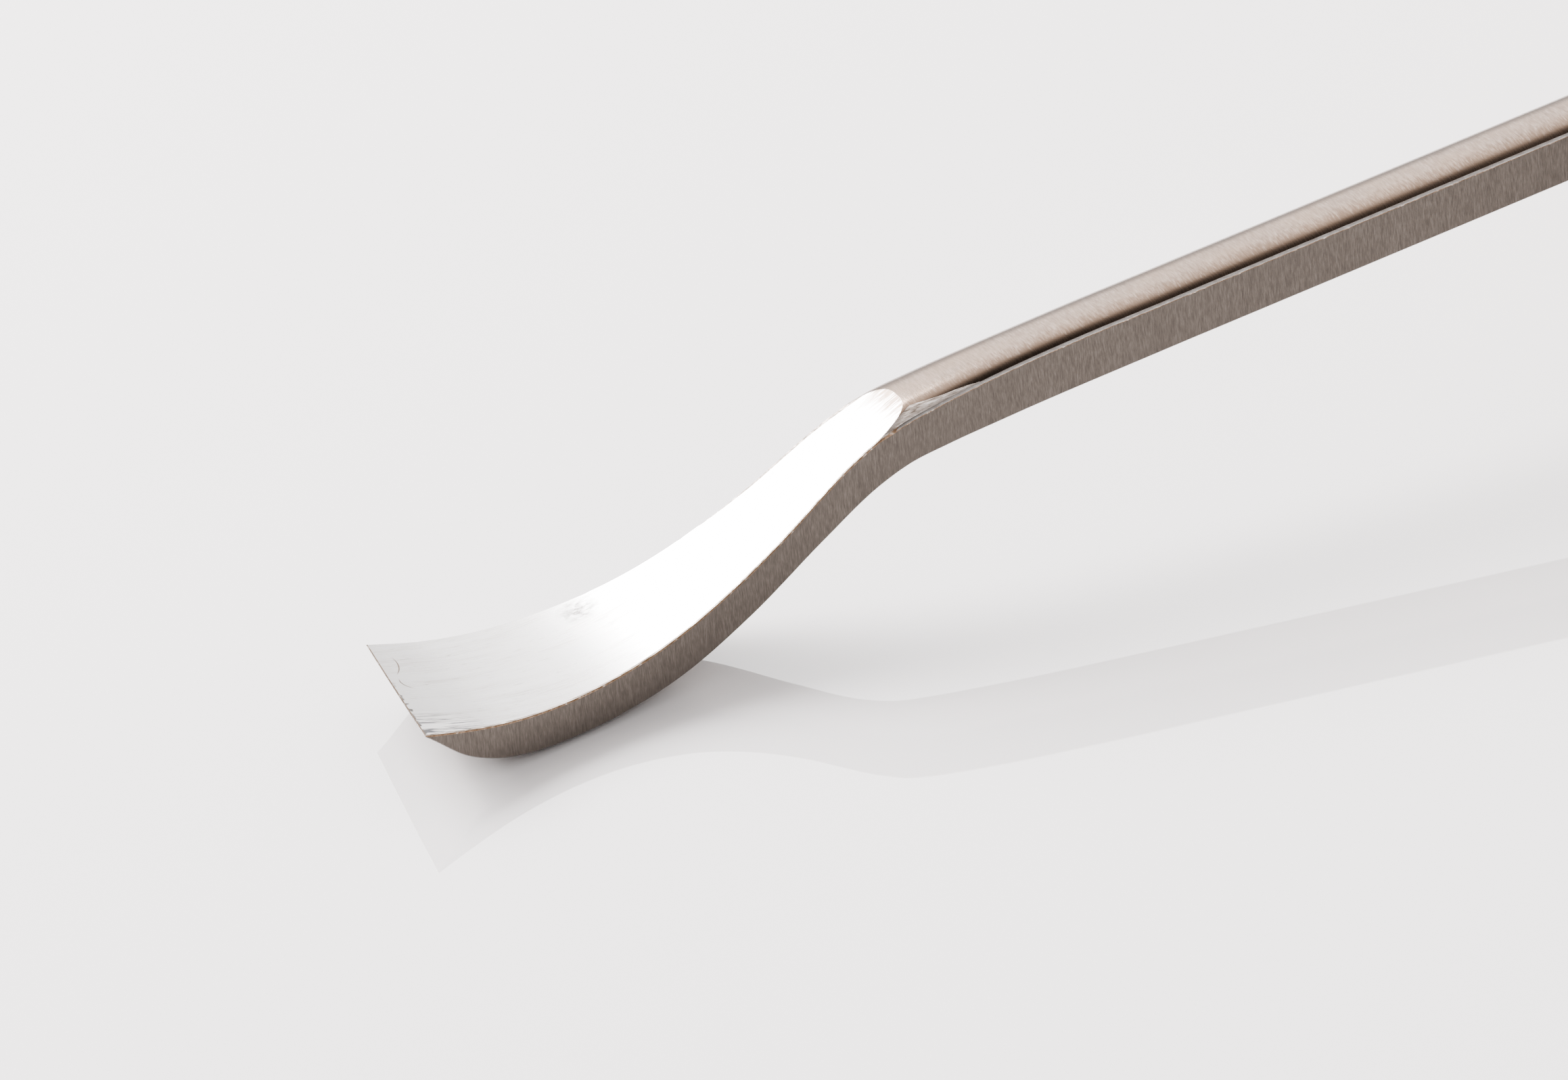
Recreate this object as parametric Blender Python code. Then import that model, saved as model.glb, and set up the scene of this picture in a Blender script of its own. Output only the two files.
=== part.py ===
"""A spoon-bent spatula blade on a bar shank, in a palm handle with a ferrule and a cross pin.

The tool lies as it rests on a bench: the heel of the blade and the flat under the handle touch z = 0.
+X runs from the tip to the butt of the handle, +Y to the side of the trailing tip corner, +Z is up.
The blade is set in the handle with a slight roll, its leading side up.
Lengths in this file are millimetres until they enter a mesh, which is in metres.
"""

import math

import bpy
import bmesh
from mathutils import Matrix, Vector

MM = 0.001

# Blade and shank, side view: (distance from the tip, height above the bench)
FACE_LINE = [(0, 3.35), (2, 2.79), (4, 2.34), (7.5, 2.05), (10.5, 2.3), (13.5, 3.01), (16.5, 4.23),
             (19.5, 5.87), (21, 6.84), (22.5, 7.78), (24.2, 8.65), (26, 9.52), (28, 10.45)]
UNDERSIDE_LINE = [(0, 3.3), (0.6, 2.75), (1.8, 1.67), (3.3, 0.86), (5.2, 0.37), (7.5, 0.22), (10, 0.34),
                  (13.5, 1.03), (17.1, 2.53), (21, 4.77), (24, 6.41), (25.5, 6.95), (27.5, 7.28),
                  (30, 7.57), (39, 8.55)]
SHOULDER_LINE = [(24.2, 8.65), (25.5, 9.05), (27, 9.34), (30, 9.82), (34.5, 10.38), (39, 10.83)]
FACE_END = 24.2
STRAIGHT_START = 39.0
SHANK_SLOPE = 0.102

# Blade and shank, plan view: (distance from the tip, size)
HALF_WIDTH = [(0, 4.78), (4.5, 4.28), (10.5, 3.54), (16.5, 2.68), (22.5, 1.98), (27, 1.72), (31, 1.57),
              (39, 1.54)]
SIDE_SWEEP = [(0, -0.43), (4.5, -0.2), (10.5, 0.07), (16.5, 0.12), (22.5, 0.05), (30, 0.0)]
TIP_SKEW = 1.55
TIP_SKEW_END = 8.0

# Blade and shank, cross-section
CROWN = 0.35
CROWN_POWER = 3
UNDERSIDE_CROWN = 0.2
UNDERSIDE_CROWN_GROWS = (0, 7)
UNDERSIDE_CROWN_FADES = (20, 27)
EDGE_BREAK = 0.08

# Where the cross-sections of the loft lie along the tool, and their points as fractions of the half width
BEVEL_STATIONS = [0, 0.3, 0.6, 1.0, 1.4]
BLADE_STATIONS = [1.8 + 0.6 * k for k in range(36)]
SHOULDER_STATIONS = [23.6, 24.4, 25.2]
SHANK_STATIONS = [26.6, 27.3, 28.1, 29, 30.5, 32, 34, 36.5, 39]
ARCH_STEP = 0.02
ARCH_BEND_REACH = 2.5
TOP_ACROSS = (0.97, 0.86, 0.7, 0.5, 0.25, 0, -0.25, -0.5, -0.7, -0.86, -0.97)
UNDER_ACROSS = (-1, -0.6, -0.2, 0.2, 0.6, 1)

# Handle axis: it leaves the ferrule's mouth in line with the shank
MOUTH_X = 63.0
AXIS_LIFT = 0.12
TILT = math.atan(SHANK_SLOPE)
ROLL = math.radians(1.6)

# Tang, hidden in the handle (distances along the handle axis from the ferrule's mouth)
TANG_TAPER_START = 8.0
TANG_END = 36.0
TANG_TIP_SCALE = 0.45
TANG_TIP_LENGTH = 1.5

# Ferrule
FERRULE_LENGTH = 9.0
FERRULE_RADIUS = 4.75
FERRULE_WALL = 0.6
FERRULE_FRONT = 0.9
FERRULE_NOSE = 0.6
FERRULE_BEAD = 0.35
BEAD_LENGTH = 0.9
BEAD_STEPS = 6

# Handle: (distance along the axis from the ferrule's mouth, radius), then a flattened dome for the palm
HANDLE_BODY = [(9.3, 5.2), (13, 5.35), (17, 6.2), (22, 8.9), (27, 12.3), (32, 15.3), (36, 16.55),
               (39, 16.8)]
HANDLE_CHAMFER = 0.3
HANDLE_END = 55.0
DOME_POWER = 2.3
DOME_STEPS = 12
BODY_STEPS = 20

# Cross pin
PIN_RADIUS = 0.75
PIN_AT = 5.0
PIN_HEAD_RISE = 0.15
PIN_HEAD_DOME = 0.2
PIN_FACE_SHARE = 0.6

# The gap between touching pieces, and how far a cutter reaches past what it cuts
GAP = 0.3
OVERREACH = 2.0
BENCH_BLOCK = (200, 60, 20)
ROUND_SEGMENTS = 48
HALVINGS = 40


def curve_through(points):
    """Return a smooth function through the points (cubic Hermite, slopes from both neighbours)."""
    xs = [p[0] for p in points]
    ys = [p[1] for p in points]
    chords = [(ys[i + 1] - ys[i]) / (xs[i + 1] - xs[i]) for i in range(len(xs) - 1)]
    slopes = [chords[0]]
    for i in range(1, len(xs) - 1):
        before = xs[i] - xs[i - 1]
        after = xs[i + 1] - xs[i]
        slopes.append((chords[i - 1] * after + chords[i] * before) / (before + after))
    slopes.append(chords[-1])

    def value(x):
        if x <= xs[0]:
            return ys[0] + slopes[0] * (x - xs[0])
        if x >= xs[-1]:
            return ys[-1] + slopes[-1] * (x - xs[-1])
        i = max(k for k in range(len(xs) - 1) if xs[k] <= x)
        h = xs[i + 1] - xs[i]
        t = (x - xs[i]) / h
        return (
            ys[i] * (1 + 2 * t) * (1 - t) ** 2
            + ys[i + 1] * t * t * (3 - 2 * t)
            + h * slopes[i] * t * (1 - t) ** 2
            - h * slopes[i + 1] * t * t * (1 - t)
        )

    return value


def held_after(curve, x_end, slope):
    """Return the curve up to x_end and a straight line of the given slope after it."""
    return lambda x: curve(x) if x <= x_end else curve(x_end) + slope * (x - x_end)


face_height = curve_through(FACE_LINE)
underside_height = held_after(curve_through(UNDERSIDE_LINE), STRAIGHT_START, SHANK_SLOPE)
shoulder_height = held_after(curve_through(SHOULDER_LINE), STRAIGHT_START, SHANK_SLOPE)
half_width = held_after(curve_through(HALF_WIDTH), STRAIGHT_START, 0)
side_sweep = held_after(curve_through(SIDE_SWEEP), SIDE_SWEEP[-1][0], 0)


def axis_height(x):
    """Return the height of the shank's middle line, which the handle continues."""
    return (shoulder_height(x) + underside_height(x)) / 2 + AXIS_LIFT


MOUTH = Vector((MOUTH_X, 0, axis_height(MOUTH_X)))
ROLLED = Matrix.Rotation(-ROLL, 4, "X")
TO_HANDLE = ROLLED @ Matrix.Translation(MOUTH * MM) @ Matrix.Rotation(-TILT, 4, "Y")


def smooth_step(low, high, x):
    t = min(max((x - low) / (high - low), 0), 1)
    return t * t * (3 - 2 * t)


def crown_rise(u):
    """Return how far the shank's rounded top stands above its edges, at -1 <= u <= 1 across it."""
    return CROWN * (1 - abs(u) ** CROWN_POWER)


def face_run_out(u):
    """Return the distance from the tip where the ground face meets the rounded top."""
    low, high = FACE_END, FACE_LINE[-1][0]
    for _ in range(HALVINGS):
        middle = (low + high) / 2
        if face_height(middle) - shoulder_height(middle) < crown_rise(u):
            low = middle
        else:
            high = middle
    return low


def material(name, colour, roughness, metallic):
    made = bpy.data.materials.new(name)
    made.use_nodes = True
    shader = made.node_tree.nodes["Principled BSDF"]
    shader.inputs["Base Color"].default_value = (*colour, 1)
    shader.inputs["Roughness"].default_value = roughness
    shader.inputs["Metallic"].default_value = metallic
    return made


def new_object(name, shape, finish):
    """Make one object from a bmesh, shaded smooth up to sharp edges."""
    mesh = bpy.data.meshes.new(name)
    shape.to_mesh(mesh)
    shape.free()
    mesh.shade_smooth()
    mesh.set_sharp_from_angle(angle=math.radians(35))
    mesh.materials.append(finish)
    made = bpy.data.objects.new(name, mesh)
    bpy.context.scene.collection.objects.link(made)
    return made


def loft(rings):
    """Return a closed bmesh through equal rings of points, in order, with flat ends."""
    shape = bmesh.new()
    made = [[shape.verts.new(Vector(p) * MM) for p in ring] for ring in rings]
    count = len(made[0])
    for first, second in zip(made, made[1:]):
        for k in range(count):
            after = (k + 1) % count
            shape.faces.new((first[k], first[after], second[after], second[k]))
    shape.faces.new(reversed(made[0]))
    shape.faces.new(made[-1])
    bmesh.ops.recalc_face_normals(shape, faces=shape.faces)
    return shape


def turned(profile):
    """Return a closed solid of revolution about local X from (distance, radius) points.

    The profile starts and ends on the axis, or closes on itself when it is a ring's section.
    """
    shape = bmesh.new()
    verts = [shape.verts.new(Vector((a, 0, r)) * MM) for a, r in profile]
    edges = [shape.edges.new(pair) for pair in zip(verts, verts[1:])]
    if profile[0][1] > 0:
        edges.append(shape.edges.new((verts[-1], verts[0])))
    bmesh.ops.spin(shape, geom=verts + edges, cent=(0, 0, 0), axis=(1, 0, 0), angle=math.tau,
                   steps=ROUND_SEGMENTS, use_merge=True)
    bmesh.ops.remove_doubles(shape, verts=shape.verts, dist=1e-7)
    bmesh.ops.recalc_face_normals(shape, faces=shape.faces)
    return shape


def cut(target, shape, name, matrix=Matrix.Identity(4)):
    """Cut a closed shape out of an object with a live Boolean and a hidden cutter."""
    mesh = bpy.data.meshes.new(name)
    shape.to_mesh(mesh)
    shape.free()
    cutter = bpy.data.objects.new(name, mesh)
    bpy.context.scene.collection.objects.link(cutter)
    cutter.matrix_world = matrix
    cutter.hide_render = True
    cutter.display_type = "WIRE"
    boolean = target.modifiers.new(name, "BOOLEAN")
    boolean.operation = "DIFFERENCE"
    boolean.solver = "EXACT"
    boolean.object = cutter
    return cutter


def section_point(station, u, height):
    """Place a point across the bar: station along the tool, u across it."""
    return (station, side_sweep(station) + u * half_width(station), height)


def skewed(x, u):
    """Return the station of a point whose ring starts at x: the tip edge is skewed, the rest is square."""
    return x + TIP_SKEW * (u + 1) / 2 * (1 - smooth_step(0, TIP_SKEW_END, x))


def ring_station(x, u):
    """Bend the rings near the shoulder so that one of them follows the end of the ground face."""
    arch = face_run_out(0)
    pull = max(0, 1 - abs(x - arch) / (ARCH_BEND_REACH * (arch - FACE_END)))
    return skewed(x, u) - pull * (arch - face_run_out(u))


def top_height(station, u, on_face):
    return face_height(station) if on_face else shoulder_height(station) + crown_rise(u)


def under_height(x, station, u):
    """Return the height of the underside: a bevel up to the tip, then a slightly rounded sole."""
    lift = face_height(station) - face_height(x) if x < TIP_SKEW_END else 0
    grown = smooth_step(*UNDERSIDE_CROWN_GROWS, x) * (1 - smooth_step(*UNDERSIDE_CROWN_FADES, x))
    return underside_height(x) + lift - UNDERSIDE_CROWN * grown * (1 - u * u)


def side_top(x, side, low, on_face):
    """Return the top point of a flat side, just below the broken edge."""
    station = ring_station(x, side)
    edge = top_height(station, side, on_face)
    return section_point(station, side, edge - min(EDGE_BREAK, (edge - low) / 2))


def blade_ring(x):
    """Return one cross-section, from the near lower edge round by the far side."""
    on_face = x <= face_run_out(0)
    ring = []
    for u in UNDER_ACROSS:
        station = skewed(x, u)
        ring.append(section_point(station, u, under_height(x, station, u)))
    near_low, far_low = ring[0][2], ring[-1][2]
    ring.append(side_top(x, 1, far_low, on_face))
    for u in TOP_ACROSS:
        station = ring_station(x, u)
        ring.append(section_point(station, u, top_height(station, u, on_face)))
    ring.append(side_top(x, -1, near_low, on_face))
    return ring


def tang_ring(along):
    """Return a cross-section of the tang: the shank's rectangle, shrinking towards its end."""
    t = (along - TANG_TAPER_START) / (TANG_END - TANG_TAPER_START)
    scale = 1 - (1 - TANG_TIP_SCALE) * max(t, 0)
    x = MOUTH_X + along * math.cos(TILT)
    middle = axis_height(x)
    return [(p[0], p[1] * scale, middle + (p[2] - middle) * scale) for p in blade_ring(x)]


def make_blade(finish):
    """Blade, shank and tang in one bar, as it is forged, with the pin's hole through the tang."""
    arch = face_run_out(0)
    along_bar = BEVEL_STATIONS + BLADE_STATIONS + SHOULDER_STATIONS
    along_bar += [arch, arch + ARCH_STEP] + SHANK_STATIONS
    along_tang = [0, TANG_TAPER_START, TANG_END - TANG_TIP_LENGTH, TANG_END]
    rings = [blade_ring(x) for x in along_bar]
    rings += [tang_ring(along) for along in along_tang]
    blade = new_object("blade_and_shank", loft(rings), finish)
    blade.matrix_world = ROLLED
    cut(blade, pin_hole_cutter(), "tang_pin_hole", across_handle())
    return blade


def pin_hole_cutter():
    """Return a rod along local X, a gap wider than the pin and longer than the ferrule is wide."""
    half = FERRULE_RADIUS + OVERREACH
    radius = PIN_RADIUS + GAP
    return turned([(-half, 0), (-half, radius), (half, radius), (half, 0)])


def across_handle():
    """Return the placement of the cross pin: its local X lies across the handle."""
    along = Matrix.Translation(Vector((PIN_AT, 0, 0)) * MM)
    return TO_HANDLE @ along @ Matrix.Rotation(math.radians(90), 4, "Z")


def bar_cutter(start, end):
    """Return a box a gap wider than the shank and tang, between two distances along the handle axis."""
    wide = half_width(MOUTH_X) + GAP
    high = (shoulder_height(MOUTH_X) - underside_height(MOUTH_X)) / 2 + CROWN / 2 + GAP
    shape = bmesh.new()
    bmesh.ops.create_cube(shape, size=1)
    bmesh.ops.scale(shape, verts=shape.verts, vec=Vector((end - start, 2 * wide, 2 * high)) * MM)
    bmesh.ops.translate(shape, verts=shape.verts, vec=Vector(((start + end) / 2, 0, 0)) * MM)
    return shape


def make_ferrule(finish):
    """A drawn cup: closed front with a slot for the shank, rolled bead at its rear rim."""
    outer = FERRULE_RADIUS
    inner = FERRULE_RADIUS - FERRULE_WALL
    profile = [(0, 0), (0, outer - FERRULE_NOSE), (FERRULE_NOSE / 3, outer - FERRULE_NOSE / 3)]
    profile.append((FERRULE_NOSE, outer))
    for k in range(BEAD_STEPS + 1):
        along = FERRULE_LENGTH - BEAD_LENGTH * (1 - k / BEAD_STEPS)
        profile.append((along, outer + FERRULE_BEAD * math.sin(math.pi * k / BEAD_STEPS)))
    profile += [(FERRULE_LENGTH, inner), (FERRULE_FRONT, inner), (FERRULE_FRONT, 0)]
    ferrule = new_object("ferrule", turned(profile), finish)
    ferrule.matrix_world = TO_HANDLE
    cut(ferrule, bar_cutter(-OVERREACH, FERRULE_FRONT + OVERREACH), "ferrule_slot", TO_HANDLE)
    cut(ferrule, pin_hole_cutter(), "ferrule_pin_hole", across_handle())
    return ferrule


def make_handle(finish):
    """A turned palm handle with a spigot for the ferrule and a flat to rest on."""
    spigot = FERRULE_RADIUS - FERRULE_WALL - GAP
    start = FERRULE_FRONT + GAP
    radius = curve_through(HANDLE_BODY)
    shoulder, last = HANDLE_BODY[0][0], HANDLE_BODY[-1][0]
    profile = [(start, 0), (start, spigot - HANDLE_CHAMFER), (start + HANDLE_CHAMFER, spigot)]
    profile += [(shoulder, spigot), (shoulder, radius(shoulder) - HANDLE_CHAMFER)]
    body_start = shoulder + HANDLE_CHAMFER
    for k in range(BODY_STEPS + 1):
        along = body_start + (last - body_start) * k / BODY_STEPS
        profile.append((along, radius(along)))
    for k in range(1, DOME_STEPS):
        t = math.sin(math.pi / 2 * k / DOME_STEPS)
        fall = (1 - t**DOME_POWER) ** (1 / DOME_POWER)
        profile.append((last + (HANDLE_END - last) * t, radius(last) * fall))
    profile.append((HANDLE_END, 0))
    handle = new_object("handle", turned(profile), finish)
    handle.matrix_world = TO_HANDLE
    cut(handle, bar_cutter(-OVERREACH, TANG_END + OVERREACH), "tang_pocket", TO_HANDLE)
    cut(handle, pin_hole_cutter(), "handle_pin_hole", across_handle())
    bench = bmesh.new()
    bmesh.ops.create_cube(bench, size=1)
    bmesh.ops.scale(bench, verts=bench.verts, vec=Vector(BENCH_BLOCK) * MM)
    below = Matrix.Translation(Vector((MOUTH_X, 0, -BENCH_BLOCK[2] / 2)) * MM)
    cut(handle, bench, "handle_flat", below)
    return handle


def make_pin(finish):
    """A plain pin through ferrule, spigot and tang, with low domed ends."""
    half = FERRULE_RADIUS + PIN_HEAD_RISE
    head = [(-half, 0), (-half + PIN_HEAD_DOME / 4, PIN_RADIUS * PIN_FACE_SHARE)]
    head.append((-half + PIN_HEAD_DOME, PIN_RADIUS))
    profile = head + [(-a, r) for a, r in reversed(head)]
    pin = new_object("cross_pin", turned(profile), finish)
    pin.matrix_world = across_handle()
    return pin


def centre_on_origin(objects):
    """Move the whole tool over the bench so that its box is centred on the origin."""
    bpy.context.view_layer.update()
    graph = bpy.context.evaluated_depsgraph_get()
    corners = [
        piece.matrix_world @ corner.co
        for piece in objects
        for corner in piece.evaluated_get(graph).data.vertices
    ]
    xs = [corner.x for corner in corners]
    ys = [corner.y for corner in corners]
    shift = Matrix.Translation((-(min(xs) + max(xs)) / 2, -(min(ys) + max(ys)) / 2, 0))
    for piece in bpy.context.scene.objects:
        piece.matrix_world = shift @ piece.matrix_world


def main():
    for old in list(bpy.data.objects):
        bpy.data.objects.remove(old, do_unlink=True)
    steel = material("ground_steel", (0.46, 0.43, 0.4), 0.38, 1.0)
    brass = material("ferrule_brass", (0.78, 0.57, 0.27), 0.3, 1.0)
    wood = material("turned_beech", (0.62, 0.4, 0.22), 0.45, 0.0)
    pin_steel = material("pin_steel", (0.6, 0.59, 0.57), 0.3, 1.0)
    pieces = [make_blade(steel), make_ferrule(brass), make_handle(wood), make_pin(pin_steel)]
    centre_on_origin(pieces)


main()
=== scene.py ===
"""Looks of the spoon-bent palette knife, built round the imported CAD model.

Lengths are written in millimetres and turned into metres where they enter a mesh. The blade is drawn
in its own frame, x from the tip along the tool and y across it, and then placed with its slight roll.
The handle, ferrule and pin are drawn in the handle's frame, x along its axis from the ferrule's mouth.
"""

import math

import bmesh
import bpy
from mathutils import Matrix, Vector, noise


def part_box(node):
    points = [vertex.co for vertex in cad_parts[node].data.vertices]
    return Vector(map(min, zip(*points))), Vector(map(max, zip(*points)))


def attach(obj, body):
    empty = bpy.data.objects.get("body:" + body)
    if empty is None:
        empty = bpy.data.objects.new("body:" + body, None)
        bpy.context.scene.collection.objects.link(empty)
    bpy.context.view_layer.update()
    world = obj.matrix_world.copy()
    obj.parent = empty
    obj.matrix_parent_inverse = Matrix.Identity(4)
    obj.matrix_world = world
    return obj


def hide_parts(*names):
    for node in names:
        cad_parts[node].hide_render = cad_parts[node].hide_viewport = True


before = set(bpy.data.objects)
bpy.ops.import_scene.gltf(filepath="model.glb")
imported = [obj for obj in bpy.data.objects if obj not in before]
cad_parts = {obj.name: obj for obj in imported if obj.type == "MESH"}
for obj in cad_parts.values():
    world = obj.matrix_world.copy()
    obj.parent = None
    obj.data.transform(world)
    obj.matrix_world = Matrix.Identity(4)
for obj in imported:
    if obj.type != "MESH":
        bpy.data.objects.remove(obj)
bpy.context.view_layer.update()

MM = 0.001
BODY = "root"

# Blade and shank, side view: (distance from the tip, height above the bench)
FACE_LINE = [(0, 3.35), (2, 2.79), (4, 2.34), (7.5, 2.05), (10.5, 2.3), (13.5, 3.01), (16.5, 4.23),
             (19.5, 5.87), (21, 6.84), (22.5, 7.78), (24.2, 8.65), (26, 9.52), (28, 10.45)]
UNDERSIDE_LINE = [(0, 3.3), (0.6, 2.75), (1.8, 1.67), (3.3, 0.86), (5.2, 0.37), (7.5, 0.22), (10, 0.34),
                  (13.5, 1.03), (17.1, 2.53), (21, 4.77), (24, 6.41), (25.5, 6.95), (27.5, 7.28),
                  (30, 7.57), (39, 8.55)]
SHOULDER_LINE = [(24.2, 8.65), (25.5, 9.05), (27, 9.34), (30, 9.82), (34.5, 10.38), (39, 10.83)]
FACE_END = 24.2
STRAIGHT_START = 39.0
SHANK_SLOPE = 0.102
HALF_WIDTH = [(0, 4.78), (4.5, 4.28), (10.5, 3.54), (16.5, 2.68), (22.5, 1.98), (27, 1.72), (31, 1.57),
              (39, 1.54)]
SIDE_SWEEP = [(0, -0.43), (4.5, -0.2), (10.5, 0.07), (16.5, 0.12), (22.5, 0.05), (30, 0.0)]
TIP_SKEW = 1.55
TIP_SKEW_END = 8.0
TIP_NEAR_Y = SIDE_SWEEP[0][1] - HALF_WIDTH[0][1]
TIP_SLANT = TIP_SKEW / (2 * HALF_WIDTH[0][1])
CROWN = 0.35
CROWN_POWER = 3
UNDERSIDE_CROWN = 0.2
UNDERSIDE_CROWN_GROWS = (0, 7)
UNDERSIDE_CROWN_FADES = (20, 27)

# Corners of the blade and shank: how far in from the side each broken edge or stoned facet reaches
EDGE_BREAK = 0.035
LOWER_BREAK = 0.06
LOWER_BREAK_SHARE = 0.3
SHANK_CHAMFER = 0.09
CHAMFER_DROP = 0.05
CHAMFER_START = 0.5
BURR_LINE = 0.035
BURR_SHARE = 0.2
NEAR_FACET = [(25.7, 0.1), (26.3, 0.66), (27, 0.5), (27.9, 0.33), (29, 0.2), (29.5, 0.09)]
FAR_FACET = [(17, 0.035), (20, 0.15), (24, 0.2), (26.2, 0.3), (27.6, 0.1)]
FACET_SLOPE = 0.1
FACET_MARGIN = 0.01
NICK_DEPTH = 0.16
NICK_THRESHOLD = 0.06
NICKS_PER_MM = 3.1
PATCHES_PER_MM = 0.9

# Handle axis, tang and pin
MOUTH_X = 63.0
AXIS_LIFT = 0.12
TILT = math.atan(SHANK_SLOPE)
ROLL = math.radians(1.6)
TANG_TAPER_START = 8.0
TANG_END = 36.0
TANG_TIP_SCALE = 0.45
PIN_RADIUS = 0.75
PIN_AT = 5.0
PIN_RISE = 0.15
PIN_DOME = 0.22
PIN_FIT = 0.03

# Ferrule
FERRULE_LENGTH = 9.0
FERRULE_RADIUS = 4.75
FERRULE_WALL = 0.6
FERRULE_FRONT = 0.9
FERRULE_BEAD = 0.35
BEAD_LENGTH = 0.9
NOSE_RADIUS = 0.6
SCRIBED_AT = (2.0, 2.6, 7.3)
SCRIBE_TOP, SCRIBE_FOOT, SCRIBE_DEPTH = 0.12, 0.03, 0.07
SLOT_START = 0.06
SLOT_SQUARENESS = 12
GAP = 0.3

# Handle: (distance along the axis from the ferrule's mouth, radius), then a flattened dome
HANDLE_BODY = [(9.3, 5.2), (13, 5.35), (17, 6.2), (22, 8.9), (27, 12.3), (32, 15.3), (36, 16.55),
               (39, 16.8)]
HANDLE_CHAMFER = 0.3
HANDLE_END = 55.0
DOME_POWER = 2.3
POCKET_OVERREACH = 2.0

# Fineness of the meshes
TOP_STEPS = 28
UNDER_STEPS = 14
SIDE_STEPS = 3
BLADE_PITCH = 0.18
TIP_LAND = 0.06
SHANK_PITCH = 0.6
FINE_PITCH_END = 31.0
ARCH_STEP = 0.01
ARCH_BEND_REACH = 2.5
ROUND_SEGMENTS = 128
CORNER_STEPS = 8
BEAD_STEPS = 12
CHAMFER_STEPS = 4
BODY_STEPS = 60
DOME_STEPS = 40
PIN_STEPS = 6
HALVINGS = 40
POLE_RADIUS = 0.01


def curve_through(points):
    """Return a smooth function through the points (cubic Hermite, slopes from both neighbours)."""
    xs = [p[0] for p in points]
    ys = [p[1] for p in points]
    chords = [(ys[i + 1] - ys[i]) / (xs[i + 1] - xs[i]) for i in range(len(xs) - 1)]
    slopes = [chords[0]]
    for i in range(1, len(xs) - 1):
        before = xs[i] - xs[i - 1]
        after = xs[i + 1] - xs[i]
        slopes.append((chords[i - 1] * after + chords[i] * before) / (before + after))
    slopes.append(chords[-1])

    def value(x):
        if x <= xs[0]:
            return ys[0] + slopes[0] * (x - xs[0])
        if x >= xs[-1]:
            return ys[-1] + slopes[-1] * (x - xs[-1])
        i = max(k for k in range(len(xs) - 1) if xs[k] <= x)
        h = xs[i + 1] - xs[i]
        t = (x - xs[i]) / h
        return (
            ys[i] * (1 + 2 * t) * (1 - t) ** 2
            + ys[i + 1] * t * t * (3 - 2 * t)
            + h * slopes[i] * t * (1 - t) ** 2
            - h * slopes[i + 1] * t * t * (1 - t)
        )

    return value


def straight_through(points):
    """Return the straight-line function through the points, level before and after them."""

    def value(x):
        for (x0, y0), (x1, y1) in zip(points, points[1:]):
            if x <= x1:
                return y0 + (y1 - y0) * max(0, (x - x0) / (x1 - x0))
        return points[-1][1]

    return value


def held_after(curve, x_end, slope):
    """Return the curve up to x_end and a straight line of the given slope after it."""
    return lambda x: curve(x) if x <= x_end else curve(x_end) + slope * (x - x_end)


face_height = curve_through(FACE_LINE)
underside_height = held_after(curve_through(UNDERSIDE_LINE), STRAIGHT_START, SHANK_SLOPE)
shoulder_height = held_after(curve_through(SHOULDER_LINE), STRAIGHT_START, SHANK_SLOPE)
half_width = held_after(curve_through(HALF_WIDTH), STRAIGHT_START, 0)
side_sweep = held_after(curve_through(SIDE_SWEEP), SIDE_SWEEP[-1][0], 0)
near_facet = straight_through(NEAR_FACET)
far_facet = straight_through(FAR_FACET)


def axis_height(x):
    return (shoulder_height(x) + underside_height(x)) / 2 + AXIS_LIFT


def smooth_step(low, high, x):
    t = min(max((x - low) / (high - low), 0), 1)
    return t * t * (3 - 2 * t)


def placement():
    """Return the matrix from the blade's own frame to the row's frame."""
    rolled = Matrix.Rotation(-ROLL, 4, "X")
    near_corner = rolled @ Vector((0, side_sweep(0) - half_width(0), underside_height(0))) * MM
    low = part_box("blade_and_shank")[0]
    return Matrix.Translation((low[0] - near_corner.x, low[1] - near_corner.y, 0)) @ rolled


BLADE_FRAME = placement()
MOUTH = Vector((MOUTH_X, 0, axis_height(MOUTH_X)))
HANDLE_FRAME = BLADE_FRAME @ Matrix.Translation(MOUTH * MM) @ Matrix.Rotation(-TILT, 4, "Y")
PIN_PLACE = Matrix.Translation(Vector((PIN_AT, 0, 0)) * MM)
PIN_FRAME = HANDLE_FRAME @ PIN_PLACE @ Matrix.Rotation(math.pi / 2, 4, "Z")


# ---------------------------------------------------------------- node helpers


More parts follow.
